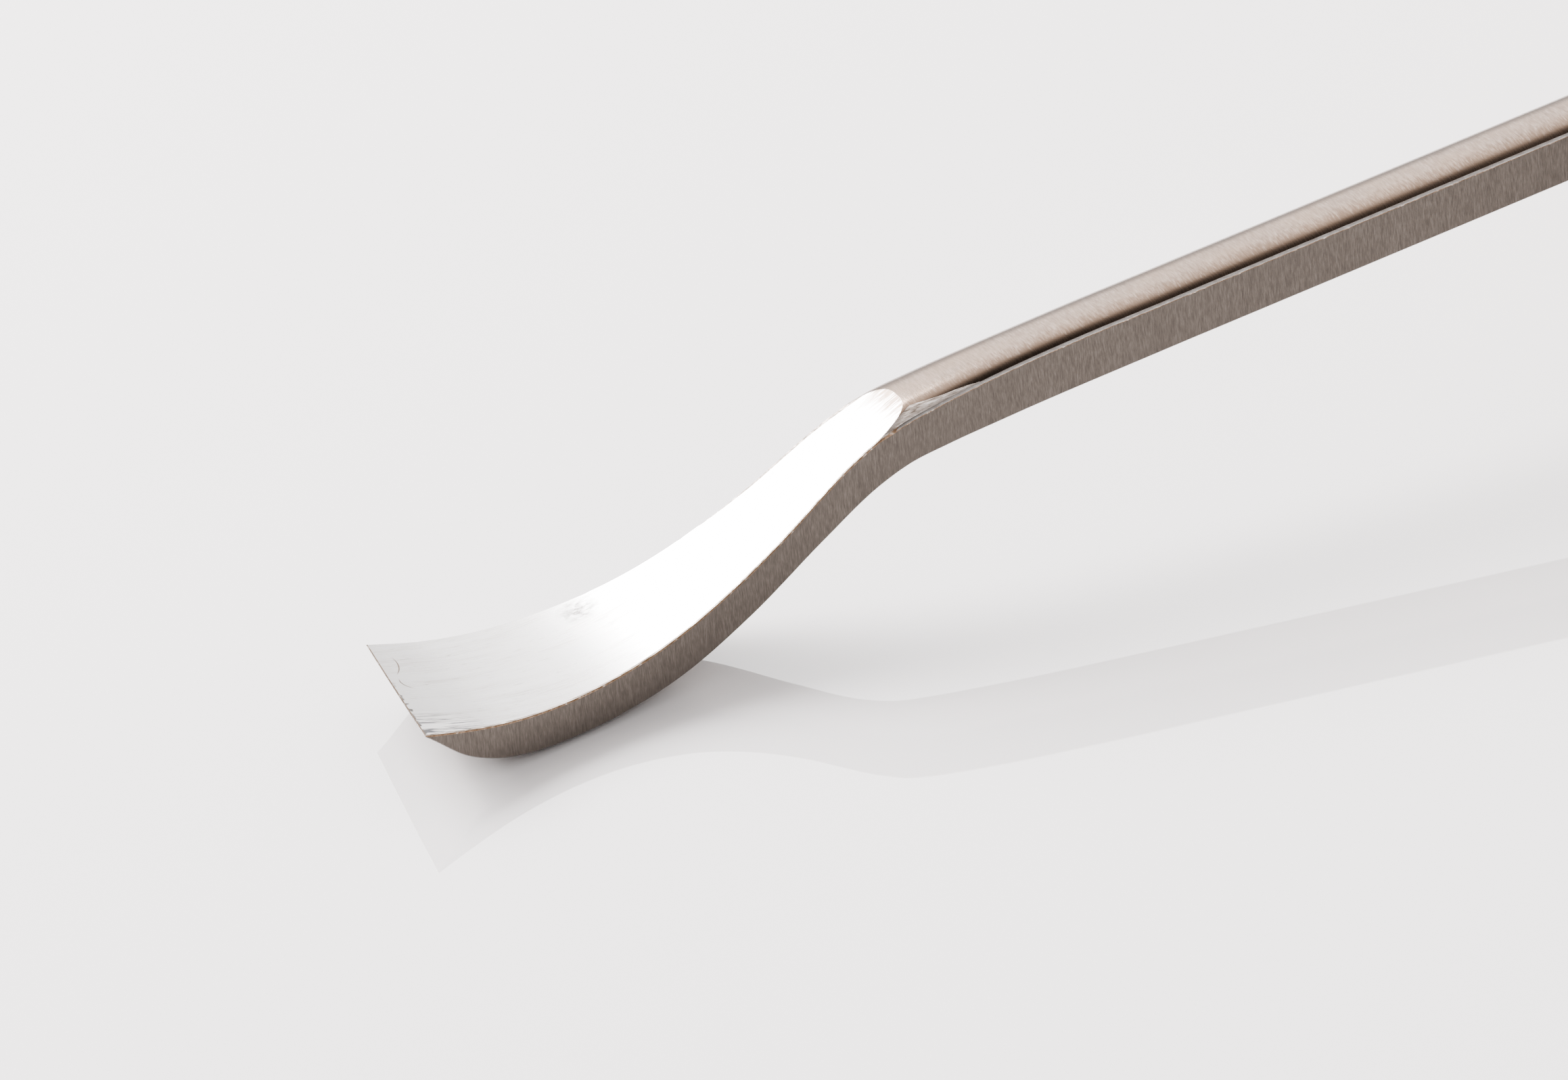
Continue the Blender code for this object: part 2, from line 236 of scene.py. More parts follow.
class Nodes:
    """Short names for the nodes that the materials use. Positions are millimetres in the given frame."""

    def __init__(self, name, place):
        self.material = bpy.data.materials.new(name)
        self.material.use_nodes = True
        self.tree = self.material.node_tree
        self.shader = self.tree.nodes["Principled BSDF"]
        coordinates = self.tree.nodes.new("ShaderNodeTexCoord")
        mapping = self.tree.nodes.new("ShaderNodeMapping")
        inverse = place.inverted()
        mapping.inputs["Location"].default_value = inverse.translation / MM
        mapping.inputs["Rotation"].default_value = inverse.to_euler()
        mapping.inputs["Scale"].default_value = (1 / MM, 1 / MM, 1 / MM)
        self.tree.links.new(coordinates.outputs["Object"], mapping.inputs["Vector"])
        self.position = mapping.outputs["Vector"]

    def add(self, kind, **inputs):
        node = self.tree.nodes.new(kind)
        for key, value in inputs.items():
            self.put(node.inputs[key.replace("_", " ")], value)
        return node

    def put(self, socket, value):
        if isinstance(value, bpy.types.NodeSocket):
            self.tree.links.new(value, socket)
        else:
            socket.default_value = value

    def vector(self, operation, a, b):
        node = self.tree.nodes.new("ShaderNodeVectorMath")
        node.operation = operation
        self.put(node.inputs[0], a)
        self.put(node.inputs[1], b)
        return node.outputs["Value" if operation == "DISTANCE" else "Vector"]

    def part(self, axis):
        return self.add("ShaderNodeSeparateXYZ", Vector=self.position).outputs[axis]

    def noise(self, scale, detail=2.0, roughness=0.5, distortion=0.0):
        """Noise whose grains are 1/scale millimetres long on each axis."""
        where = self.vector("MULTIPLY", self.position, scale)
        node = self.add("ShaderNodeTexNoise", Vector=where, Scale=1.0, Detail=detail,
                        Roughness=roughness, Distortion=distortion)
        return node.outputs["Fac"]

    def ramp(self, fac, stops):
        node = self.add("ShaderNodeValToRGB", Fac=fac)
        band = node.color_ramp.elements
        while len(band) < len(stops):
            band.new(0.5)
        for element, (at, value) in zip(band, stops):
            element.position = at
            element.color = (*value, 1) if isinstance(value, tuple) else (value, value, value, 1)
        return node.outputs["Color"]

    def math(self, operation, a, b=0.0, clamp=False):
        node = self.tree.nodes.new("ShaderNodeMath")
        node.operation = operation
        node.use_clamp = clamp
        self.put(node.inputs[0], a)
        self.put(node.inputs[1], b)
        return node.outputs[0]

    def within(self, value, low, high):
        """Return 0 below low, 1 above high (or the reverse if low is the larger) and a slope between."""
        node = self.add("ShaderNodeMapRange", Value=value)
        node.inputs["From Min"].default_value = low
        node.inputs["From Max"].default_value = high
        return node.outputs["Result"]

    def spot(self, centre, radius):
        """Return 1 at the centre, falling to 0 at the radius."""
        return self.within(self.vector("DISTANCE", self.position, centre), radius, 0.0)

    def arc(self, centre, radius, middle, reach):
        """Return a thin curved line about the centre, fading out at the given reach from its middle."""
        off = self.math("SUBTRACT", self.vector("DISTANCE", self.position, centre), radius)
        line = self.within(self.math("ABSOLUTE", off), HAIR_WIDTH, HAIR_CORE)
        length = self.math("MULTIPLY", self.spot(middle, reach), 2.5)
        return self.math("MULTIPLY", line, length, clamp=True)

    def shared(self, first, second, share):
        """Return the given share of the first value and the rest of the second."""
        rest = self.math("MULTIPLY", second, 1 - share)
        return self.math("ADD", self.math("MULTIPLY", first, share), rest)

    def mix(self, fac, a, b, blend="MIX"):
        node = self.tree.nodes.new("ShaderNodeMix")
        node.data_type = "RGBA"
        node.blend_type = blend
        self.put(node.inputs["Factor"], fac)
        self.put(node.inputs["A"], a)
        self.put(node.inputs["B"], (*b, 1) if isinstance(b, tuple) else b)
        return node.outputs["Result"]

    def bump(self, height, strength, distance):
        node = self.add("ShaderNodeBump", Height=height, Strength=strength, Distance=distance * MM)
        return node.outputs["Normal"]

    def finish(self, **sockets):
        for key, value in sockets.items():
            self.put(self.shader.inputs[key.replace("_", " ")], value)
        return self.material


# ---------------------------------------------------------------- materials

# Marks on the ground face, in the blade's own frame
SCORED_CORNER = (1.2, -4.8, 3.0)
LONG_HAIR = {"centre": (-0.1, 2.54, 2.84), "radius": 2.2, "middle": (2.0, 1.88, 2.84), "reach": 1.0}
SHORT_HAIR = {"centre": (2.16, 0.27, 2.9), "radius": 0.8, "middle": (1.38, 0.07, 2.9), "reach": 0.6}
HAIR_WIDTH = 0.035
HAIR_CORE = 0.0105
SMUDGED_AT = (10.95, 2.5, 2.4)
RUN_OUT = (23.8, 26.0)

# Growth rings of the handle's wood: the pith, across the handle's axis, and a year's growth
PITH = (0.0, 13.0, -34.0)
YEAR = 2.6


def side_steel_painted_shade():
    """Flat sides: warm-grey steel with fine upright grinding lines, coloured far darker than steel as
    painted shade for the dim light the sides catch.
    """
    n = Nodes("side_steel_painted_shade", BLADE_FRAME)
    fine = n.noise((17.0, 2.4, 2.4), detail=3, roughness=0.6)
    coarse = n.noise((7.0, 0.9, 0.8), detail=2)
    cloud = n.noise((0.22, 0.3, 0.5), detail=3)
    lines = n.shared(fine, coarse, 0.8)
    # Painted shade: these colours are set far darker than real steel so that the sides look as dim as
    # they do in shade
    colour = n.ramp(lines, [(0.3, (0.069, 0.058, 0.05)), (0.5, (0.098, 0.083, 0.071)),
                            (0.7, (0.138, 0.118, 0.103))])
    colour = n.mix(n.ramp(cloud, [(0.35, 0.0), (0.7, 0.3)]), colour, (0.088, 0.075, 0.065))
    rough = n.ramp(lines, [(0.3, 0.44), (0.7, 0.34)])
    return n.finish(Base_Color=colour, Metallic=1.0, Roughness=rough, Normal=n.bump(fine, 0.25, 0.006))


def crown_steel():
    """Rounded top of the shank: warm brushed steel, ground across its length, with painted shade along
    its near edge.
    """
    n = Nodes("crown_steel", BLADE_FRAME)
    fine = n.noise((12.0, 2.2, 2.2), detail=3, roughness=0.6)
    coarse = n.noise((4.0, 0.9, 0.9), detail=2)
    cloud = n.noise((0.35, 0.8, 0.8), detail=3)
    lines = n.shared(fine, coarse, 0.7)
    colour = n.ramp(lines, [(0.3, (0.205, 0.15, 0.118)), (0.5, (0.297, 0.222, 0.178)),
                            (0.7, (0.41, 0.32, 0.268))])
    colour = n.mix(n.ramp(cloud, [(0.4, 0.0), (0.7, 0.4)]), colour, (0.345, 0.24, 0.172))
    # Painted shade: brown streaks darken the rounded top towards its near edge, where it turns away from
    # the light, reaching unevenly up from that edge
    reach = n.math("ADD", n.part("Y"), n.math("MULTIPLY", n.math("SUBTRACT", fine, 0.5), 1.6))
    colour = n.mix(n.math("MULTIPLY", n.within(reach, -0.25, -1.0), 0.75), colour, (0.15, 0.097, 0.066))
    rough = n.ramp(lines, [(0.3, 0.2), (0.7, 0.13)])
    return n.finish(Base_Color=colour, Metallic=1.0, Roughness=rough, Normal=n.bump(fine, 0.3, 0.006))


def face_steel():
    """Ground face of the blade: bright steel brushed lengthwise, with the marks listed above."""
    n = Nodes("face_steel", BLADE_FRAME)
    fine = n.noise((0.5, 11.0, 0.5), detail=3, roughness=0.65)
    broad = n.noise((0.16, 1.6, 0.16), detail=3)
    lines = n.shared(fine, broad, 0.5)
    colour = n.ramp(lines, [(0.34, (0.6, 0.56, 0.54)), (0.48, (0.81, 0.785, 0.77)),
                            (0.68, (0.95, 0.935, 0.925))])
    # Short marks all over, deep scores at the near corner, two hairline scratches and one smudge
    flecks = n.within(n.noise((1.4, 12.0, 1.4), detail=2), 0.64, 0.74)
    colour = n.mix(n.math("MULTIPLY", flecks, 0.6), colour, (0.36, 0.31, 0.28))
    corner = n.spot(SCORED_CORNER, 2.3)
    scores = n.within(n.noise((0.4, 10.0, 0.4), detail=3, roughness=0.7), 0.5, 0.58)
    scored = n.math("MULTIPLY", n.math("MULTIPLY", scores, corner), 2.4, clamp=True)
    colour = n.mix(scored, colour, (0.1, 0.1, 0.108))
    hairs = n.math("ADD", n.arc(**LONG_HAIR), n.arc(**SHORT_HAIR), clamp=True)
    colour = n.mix(hairs, colour, (0.2, 0.135, 0.1))
    blots = n.within(n.noise((2.4, 4.5, 2.4), detail=5, roughness=0.7), 0.38, 0.62)
    smudge = n.math("MULTIPLY", blots, n.spot(SMUDGED_AT, 1.1))
    colour = n.mix(n.math("MULTIPLY", smudge, 1.8, clamp=True), colour, (0.2, 0.185, 0.18))
    # The near half of the tip edge is nibbled and dark
    edge = n.math("MULTIPLY", n.math("SUBTRACT", n.part("Y"), TIP_NEAR_Y), TIP_SLANT)
    from_edge = n.math("SUBTRACT", n.part("X"), edge)
    ragged = n.math("MULTIPLY", n.math("SUBTRACT", n.noise((3.0, 3.0, 3.0), detail=3), 0.42), 0.9)
    nibbled = n.within(n.math("SUBTRACT", from_edge, ragged), 0.05, -0.02)
    nibbled = n.math("MULTIPLY", nibbled, n.within(n.part("Y"), 1.0, -1.5), clamp=True)
    colour = n.mix(nibbled, colour, (0.13, 0.115, 0.105))
    # Warm lengthwise streaks where the wheel ran out, just before the rounded top
    run_out = n.within(n.part("X"), *RUN_OUT)
    streaks = n.within(n.noise((0.7, 8.0, 0.7), detail=3, roughness=0.7), 0.4, 0.62)
    filled = n.math("ADD", streaks, n.math("MULTIPLY", run_out, 0.6))
    warm = n.math("MULTIPLY", run_out, filled, clamp=True)
    colour = n.mix(warm, colour, (0.17, 0.122, 0.095))
    rough = n.ramp(lines, [(0.3, 0.33), (0.7, 0.22)])
    rough = n.mix(corner, rough, (0.42, 0.42, 0.42))
    height = n.math("SUBTRACT", fine, n.math("ADD", scored, flecks))
    return n.finish(Base_Color=colour, Metallic=1.0, Roughness=rough, Normal=n.bump(height, 0.22, 0.006))


def under_steel_painted_shade():
    """Underside and tip bevel: ground lengthwise, coloured far darker than the face as painted shade
    under the blade.
    """
    n = Nodes("under_steel_painted_shade", BLADE_FRAME)
    fine = n.noise((0.5, 9.0, 0.5), detail=3, roughness=0.6)
    broad = n.noise((0.15, 1.2, 0.3), detail=3)
    lines = n.shared(fine, broad, 0.55)
    # Painted shade: the underside is coloured far darker than steel, which darkens it and its reflection
    # in the floor
    colour = n.ramp(lines, [(0.32, (0.09, 0.078, 0.069)), (0.5, (0.14, 0.124, 0.112)),
                            (0.7, (0.21, 0.19, 0.175))])
    rough = n.ramp(lines, [(0.3, 0.42), (0.7, 0.27)])
    return n.finish(Base_Color=colour, Metallic=1.0, Roughness=rough, Normal=n.bump(fine, 0.3, 0.008))


def facet_steel():
    """Facets stoned along the shoulder's corners: coarse lengthwise scratches, light and dark."""
    n = Nodes("facet_steel", BLADE_FRAME)
    fine = n.noise((0.4, 11.0, 14.0), detail=3, roughness=0.7)
    broad = n.noise((0.25, 4.0, 4.0), detail=2)
    lines = n.shared(fine, broad, 0.65)
    colour = n.ramp(lines, [(0.36, (0.1, 0.078, 0.063)), (0.46, (0.26, 0.215, 0.185)),
                            (0.55, (0.42, 0.36, 0.325)), (0.66, (0.85, 0.78, 0.73))])
    rough = n.ramp(lines, [(0.35, 0.66), (0.65, 0.48)])
    return n.finish(Base_Color=colour, Metallic=1.0, Roughness=rough, Normal=n.bump(lines, 0.5, 0.012))


def chamfer_steel():
    """Narrow bright chamfer between the rounded top and the flat sides."""
    n = Nodes("chamfer_steel", BLADE_FRAME)
    fine = n.noise((2.5, 8.0, 8.0), detail=3, roughness=0.6)
    colour = n.ramp(fine, [(0.3, (0.3, 0.255, 0.23)), (0.5, (0.44, 0.395, 0.37)),
                           (0.7, (0.6, 0.56, 0.53))])
    rough = n.ramp(fine, [(0.3, 0.3), (0.7, 0.18)])
    return n.finish(Base_Color=colour, Metallic=1.0, Roughness=rough, Normal=n.bump(fine, 0.3, 0.008))


def burr_steel():
    """Broken edges of the blade: a warm, worn line with brighter nicks."""
    n = Nodes("burr_steel", BLADE_FRAME)
    nicks = n.noise((3.0, 3.0, 3.0), detail=3, roughness=0.7)
    colour = n.ramp(nicks, [(0.4, (0.13, 0.078, 0.046)), (0.58, (0.24, 0.155, 0.1)),
                            (0.7, (0.62, 0.53, 0.46))])
    rough = n.ramp(nicks, [(0.4, 0.42), (0.7, 0.24)])
    return n.finish(Base_Color=colour, Metallic=1.0, Roughness=rough, Normal=n.bump(nicks, 0.3, 0.01))


def turned_brass():
    """Turned brass with fine tool rings, a light warm tarnish and small rubs."""
    n = Nodes("turned_brass", HANDLE_FRAME)
    rings = n.noise((11.0, 0.12, 0.12), detail=3, roughness=0.6)
    tarnish = n.noise((0.4, 0.4, 0.4), detail=5, roughness=0.6)
    specks = n.within(n.noise((2.2, 2.2, 2.2), detail=2), 0.66, 0.72)
    colour = n.ramp(tarnish, [(0.35, (0.34, 0.19, 0.052)), (0.52, (0.43, 0.26, 0.08)),
                              (0.72, (0.54, 0.35, 0.125))])
    colour = n.mix(n.math("MULTIPLY", specks, 0.5), colour, (0.14, 0.065, 0.02))
    colour = n.mix(n.math("MULTIPLY", n.within(rings, 0.5, 0.7), 0.25), colour, (0.68, 0.48, 0.2))
    rough = n.ramp(tarnish, [(0.3, 0.34), (0.7, 0.24)])
    return n.finish(Base_Color=colour, Metallic=1.0, Roughness=rough, Normal=n.bump(rings, 0.3, 0.012))


def oiled_beech():
    """Oiled beech: growth rings round a distant pith, short dark rays and a satin skin."""
    n = Nodes("oiled_beech", HANDLE_FRAME)
    wander = n.noise((0.02, 0.05, 0.05), detail=3)
    across = n.vector("MULTIPLY", n.position, (0.0, 1.0, 1.0))
    reach = n.vector("DISTANCE", across, PITH)
    phase = n.math("ADD", n.math("DIVIDE", reach, YEAR), n.math("MULTIPLY", wander, 3.0))
    year = n.math("FRACT", phase)
    fibre = n.noise((0.1, 2.6, 2.6), detail=5, roughness=0.65)
    rays = n.within(n.noise((0.5, 5.0, 5.0), detail=2, roughness=0.4), 0.63, 0.7)
    wear = n.noise((0.05, 0.07, 0.07), detail=4)
    colour = n.ramp(year, [(0.0, (0.25, 0.105, 0.034)), (0.55, (0.21, 0.085, 0.027)),
                           (0.88, (0.125, 0.046, 0.014)), (1.0, (0.24, 0.1, 0.032))])
    tone = n.ramp(fibre, [(0.3, (0.72, 0.68, 0.64)), (0.5, (1.0, 1.0, 1.0)), (0.72, (1.16, 1.14, 1.1))])
    colour = n.mix(0.9, colour, tone, blend="MULTIPLY")
    colour = n.mix(n.math("MULTIPLY", rays, 0.6), colour, (0.065, 0.026, 0.01))
    colour = n.mix(n.ramp(wear, [(0.4, 0.0), (0.75, 0.4)]), colour, (0.11, 0.046, 0.018))
    rough = n.ramp(wear, [(0.3, 0.36), (0.7, 0.5)])
    height = n.math("SUBTRACT", fibre, n.math("MULTIPLY", rays, 0.7))
    return n.finish(Base_Color=colour, Roughness=rough, Coat_Weight=0.15, Coat_Roughness=0.16,
                    Normal=n.bump(height, 0.35, 0.05))


def pin_steel():
    """Drawn steel pin with turned, slightly hammered ends."""
    n = Nodes("drawn_pin_steel", PIN_FRAME)
    dents = n.noise((2.4, 2.4, 2.4), detail=3)
    colour = n.ramp(dents, [(0.35, (0.3, 0.285, 0.27)), (0.65, (0.56, 0.545, 0.53))])
    rough = n.ramp(dents, [(0.3, 0.4), (0.7, 0.22)])
    return n.finish(Base_Color=colour, Metallic=1.0, Roughness=rough, Normal=n.bump(dents, 0.4, 0.03))


# ---------------------------------------------------------------- meshes


def new_piece(name, shape, finishes, angle=40):
    mesh = bpy.data.meshes.new(name)
    bmesh.ops.recalc_face_normals(shape, faces=shape.faces)
    shape.to_mesh(mesh)
    shape.free()
    mesh.shade_smooth()
    mesh.set_sharp_from_angle(angle=math.radians(angle))
    for finish in finishes:
        mesh.materials.append(finish)
    piece = bpy.data.objects.new(name, mesh)
    bpy.context.scene.collection.objects.link(piece)
    return piece


def hand_over(piece, node):
    """Let the piece stand for the CAD node: fix it to the body and hide the node."""
    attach(piece, BODY)
    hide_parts(node)


def carve(piece, cutter_shape):
    """Cut the shape out of the piece for good."""
    cutter = new_piece("cutter", cutter_shape, [])
    modifier = piece.modifiers.new("carve", "BOOLEAN")
    modifier.solver = "EXACT"
    modifier.object = cutter
    bpy.context.view_layer.update()
    graph = bpy.context.evaluated_depsgraph_get()
    carved = bpy.data.meshes.new_from_object(piece.evaluated_get(graph))
    piece.modifiers.remove(modifier)
    piece.data = carved
    bpy.data.objects.remove(cutter, do_unlink=True)


def skin(rings, finishes, place, closed_profile=False):
    """Join rings of points into a skin, one finish per strip, and cap its ends unless it closes."""
    shape = bmesh.new()
    made = [[shape.verts.new(place @ (Vector(p) * MM)) for p in ring] for ring in rings]
    count = len(rings[0])
    pairs = list(zip(made, made[1:])) + ([(made[-1], made[0])] if closed_profile else [])
    for r, (first, second) in enumerate(pairs):
        for k in range(count):
            after = (k + 1) % count
            face = shape.faces.new((first[k], first[after], second[after], second[k]))
            face.material_index = finishes[r][k] if finishes else 0
    if not closed_profile:
        shape.faces.new(reversed(made[0])).material_index = finishes[0][0] if finishes else 0
        shape.faces.new(made[-1]).material_index = finishes[0][0] if finishes else 0
    return shape


def crown_rise(u):
    return CROWN * (1 - abs(u) ** CROWN_POWER)


def face_run_out(u):
    """Return the distance from the tip where the ground face meets the rounded top."""
    low, high = FACE_END, FACE_LINE[-1][0]
    for _ in range(HALVINGS):
        middle = (low + high) / 2
        if face_height(middle) - shoulder_height(middle) < crown_rise(u):
            low = middle
        else:
            high = middle
    return low


ARCH = face_run_out(0)


def skewed(x, u):
    return x + TIP_SKEW * (u + 1) / 2 * (1 - smooth_step(0, TIP_SKEW_END, x))


def ring_station(x, u):
    """Bend the rings near the shoulder so that one of them follows the end of the ground face."""
    pull = max(0, 1 - abs(x - ARCH) / (ARCH_BEND_REACH * (ARCH - FACE_END)))
    return skewed(x, u) - pull * (ARCH - face_run_out(u))


def section_point(station, u, height):
    return (station, side_sweep(station) + u * half_width(station), height)


def under_height(x, station, u):
    lift = face_height(station) - face_height(x) if x < TIP_SKEW_END else 0
    grown = smooth_step(*UNDERSIDE_CROWN_GROWS, x) * (1 - smooth_step(*UNDERSIDE_CROWN_FADES, x))
    return underside_height(x) + lift - UNDERSIDE_CROWN * grown * (1 - u * u)


def top_height(station, u, on_face):
    return face_height(station) if on_face else shoulder_height(station) + crown_rise(u)


def edge_wear(x, side):
    """Return how much more than usual an edge is worn here: small nicks, a little clearer in places."""
    if x > ARCH:
        return 0
    nicks = noise.noise(Vector((x * NICKS_PER_MM, side * 7.0, 0.4)))
    patches = noise.noise(Vector((x * PATCHES_PER_MM, side * 3.0, 5.0)))
    return NICK_DEPTH * max(0, nicks * patches - NICK_THRESHOLD)


FACE, CROWN_TOP, SIDE, UNDER, FACET, CHAMFER, BURR = range(7)


def blade_ring(x):
    """Return (points, finishes): one cross-section and the finish of the strip after each point.

    It starts at the near lower corner and runs under the blade, up the far side, over the top from far
    to near, and down the near side.
    """
    on_face = x <= ARCH
    points, finishes = [], []

    def put(point, finish):
        points.append(point)
        finishes.append(finish)

    lower = LOWER_BREAK
    if x < STRAIGHT_START:
        lower = min(lower, LOWER_BREAK_SHARE * (face_height(x) - underside_height(x)))
    lower_inset = lower / half_width(x)
    for k in range(UNDER_STEPS + 1):
        u = (1 - lower_inset) * (-1 + 2 * k / UNDER_STEPS)
        station = skewed(x, u)
        put(section_point(station, u, under_height(x, station, u)), UNDER)

    edge_finish = BURR if x < ARCH + CHAMFER_START else CHAMFER
    grow = smooth_step(ARCH, ARCH + CHAMFER_START, x)

    def chamfer(direction):
        return EDGE_BREAK + edge_wear(x, direction) + (SHANK_CHAMFER - EDGE_BREAK) * grow

    def facet(direction):
        return near_facet(x) if direction < 0 else far_facet(x)

    def facet_depth(direction):
        return FACET_SLOPE * max(0, facet(direction) - chamfer(direction))

    def side(direction):
        base = skewed(x, direction)
        top = ring_station(x, direction)
        low = under_height(x, base, direction) + lower
        high = top_height(top, direction, on_face)
        drop = EDGE_BREAK + edge_wear(x, direction) + (CHAMFER_DROP - EDGE_BREAK) * grow
        high -= min(drop + facet_depth(direction), (high - low) / 2)
        burr_start = 1 - min(BURR_LINE / (high - low), BURR_SHARE)
        climb = [burr_start * k / SIDE_STEPS for k in range(SIDE_STEPS + 1)] + [1]
        return [section_point(base + (top - base) * t, direction, low + (high - low) * t) for t in climb]

    def top(u, drop, finish):
        station = ring_station(x, u)
        put(section_point(station, u, top_height(station, u, on_face) - drop), finish)

    for k, point in enumerate(side(1)):
        put(point, SIDE if k < SIDE_STEPS else BURR)

    plain = FACE if x < ARCH else CROWN_TOP
    plain = BURR if x == 0 else plain
    far_edge = 1 - chamfer(1) / half_width(x)
    near_edge = -1 + chamfer(-1) / half_width(x)
    far_start = min(far_edge, 1 - facet(1) / half_width(x)) - FACET_MARGIN
    near_start = max(near_edge, -1 + facet(-1) / half_width(x)) + FACET_MARGIN
    far_finish = FACET if facet_depth(1) > 0 else plain
    near_finish = FACET if facet_depth(-1) > 0 else plain
    top(far_edge, facet_depth(1), far_finish)
    middle, reach = (far_start + near_start) / 2, (far_start - near_start) / 2
    for k in range(TOP_STEPS + 1):
        last = k == TOP_STEPS
        top(middle + reach * math.cos(math.pi * k / TOP_STEPS), 0, near_finish if last else plain)
    top(near_edge, facet_depth(-1), edge_finish)
    near_side = list(reversed(side(-1)))
    for k, point in enumerate(near_side):
        put(point, BURR if k == 0 else UNDER if k == len(near_side) - 1 else SIDE)
    return points, finishes


def tang_ring(along):
    """Return a cross-section of the tang: the shank's rectangle, shrinking towards its end."""
    t = (along - TANG_TAPER_START) / (TANG_END - TANG_TAPER_START)
    scale = 1 - (1 - TANG_TIP_SCALE) * max(t, 0)
    x = MOUTH_X + along * math.cos(TILT)
    middle = axis_height(x)
    points, finishes = blade_ring(x)
    return [(p[0], p[1] * scale, middle + (p[2] - middle) * scale) for p in points], finishes


def stations(start, end, pitch):
    count = math.ceil((end - start) / pitch)
    return [start + (end - start) * k / count for k in range(count)]


def make_blade():
    """Blade, shank and tang in one bar, as it is forged."""
    along_blade = [0] + stations(TIP_LAND, ARCH, BLADE_PITCH) + [ARCH]
    along_shank = stations(ARCH + ARCH_STEP, FINE_PITCH_END, BLADE_PITCH)
    along_shank += stations(FINE_PITCH_END, MOUTH_X, SHANK_PITCH)
    rings = [blade_ring(x) for x in along_blade + along_shank]
    rings += [tang_ring(along) for along in (0, TANG_TAPER_START, TANG_END)]
    shape = skin([points for points, _ in rings], [finishes for _, finishes in rings], BLADE_FRAME)
    finishes = [face_steel(), crown_steel(), side_steel_painted_shade(), under_steel_painted_shade(), facet_steel(), chamfer_steel(),
                burr_steel()]
    blade = new_piece("ground_blade", shape, finishes, angle=28)
    carve(blade, turned(rod(FERRULE_RADIUS, PIN_RADIUS + GAP), PIN_FRAME))
    hand_over(blade, "blade_and_shank")


def turned(profile, place):
    """Turn an open profile of (distance along the axis, radius) into a closed solid."""
    rings = [circle_ring(along, max(radius, POLE_RADIUS)) for along, radius in profile]
    return skin(rings, None, place)


def rod(half_length, radius):
    return [(-half_length, radius), (half_length, radius)]


def slot_half_sizes():
    high = (shoulder_height(MOUTH_X) - underside_height(MOUTH_X)) / 2 + CROWN / 2 + GAP
    return half_width(MOUTH_X) + GAP, high


def slot_ring(along):
    """The outline of the ferrule's slot: a rectangle with softly filed corners."""
    wide, high = slot_half_sizes()
    ring = []
    for k in range(ROUND_SEGMENTS):
        t = 2 * math.pi * k / ROUND_SEGMENTS
        flat, tall = abs(math.cos(t) / wide), abs(math.sin(t) / high)
        reach = (flat**SLOT_SQUARENESS + tall**SLOT_SQUARENESS) ** (-1 / SLOT_SQUARENESS)
        ring.append((along, reach * math.cos(t), reach * math.sin(t)))
    return ring


def circle_ring(along, radius):
    turn = [2 * math.pi * k / ROUND_SEGMENTS for k in range(ROUND_SEGMENTS)]
    return [(along, radius * math.cos(t), radius * math.sin(t)) for t in turn]


def make_ferrule():
    """A drawn cup with rounded front corner, scribed lines and a rolled bead at its rear rim."""
    outer, inner = FERRULE_RADIUS, FERRULE_RADIUS - FERRULE_WALL
    profile = []
    for k in range(CORNER_STEPS + 1):
        t = math.pi / 2 * k / CORNER_STEPS
        profile.append((NOSE_RADIUS * (1 - math.cos(t)), outer - NOSE_RADIUS * (1 - math.sin(t))))
    for at in SCRIBED_AT:
        profile += [(at - SCRIBE_TOP, outer), (at - SCRIBE_FOOT, outer - SCRIBE_DEPTH)]
        profile += [(at + SCRIBE_FOOT, outer - SCRIBE_DEPTH), (at + SCRIBE_TOP, outer)]
    for k in range(BEAD_STEPS + 1):
        along = FERRULE_LENGTH - BEAD_LENGTH * (1 - k / BEAD_STEPS)
        profile.append((along, outer + FERRULE_BEAD * math.sin(math.pi * k / BEAD_STEPS)))
    profile += [(FERRULE_LENGTH, inner), (FERRULE_FRONT, inner)]
    rings = [slot_ring(SLOT_START)] + [circle_ring(along, radius) for along, radius in profile]
    rings.append(slot_ring(FERRULE_FRONT))
    shape = skin(rings, None, HANDLE_FRAME, closed_profile=True)
    ferrule = new_piece("turned_ferrule", shape, [turned_brass()])
    carve(ferrule, turned(rod(2 * outer, PIN_RADIUS + PIN_FIT), PIN_FRAME))
    hand_over(ferrule, "ferrule")


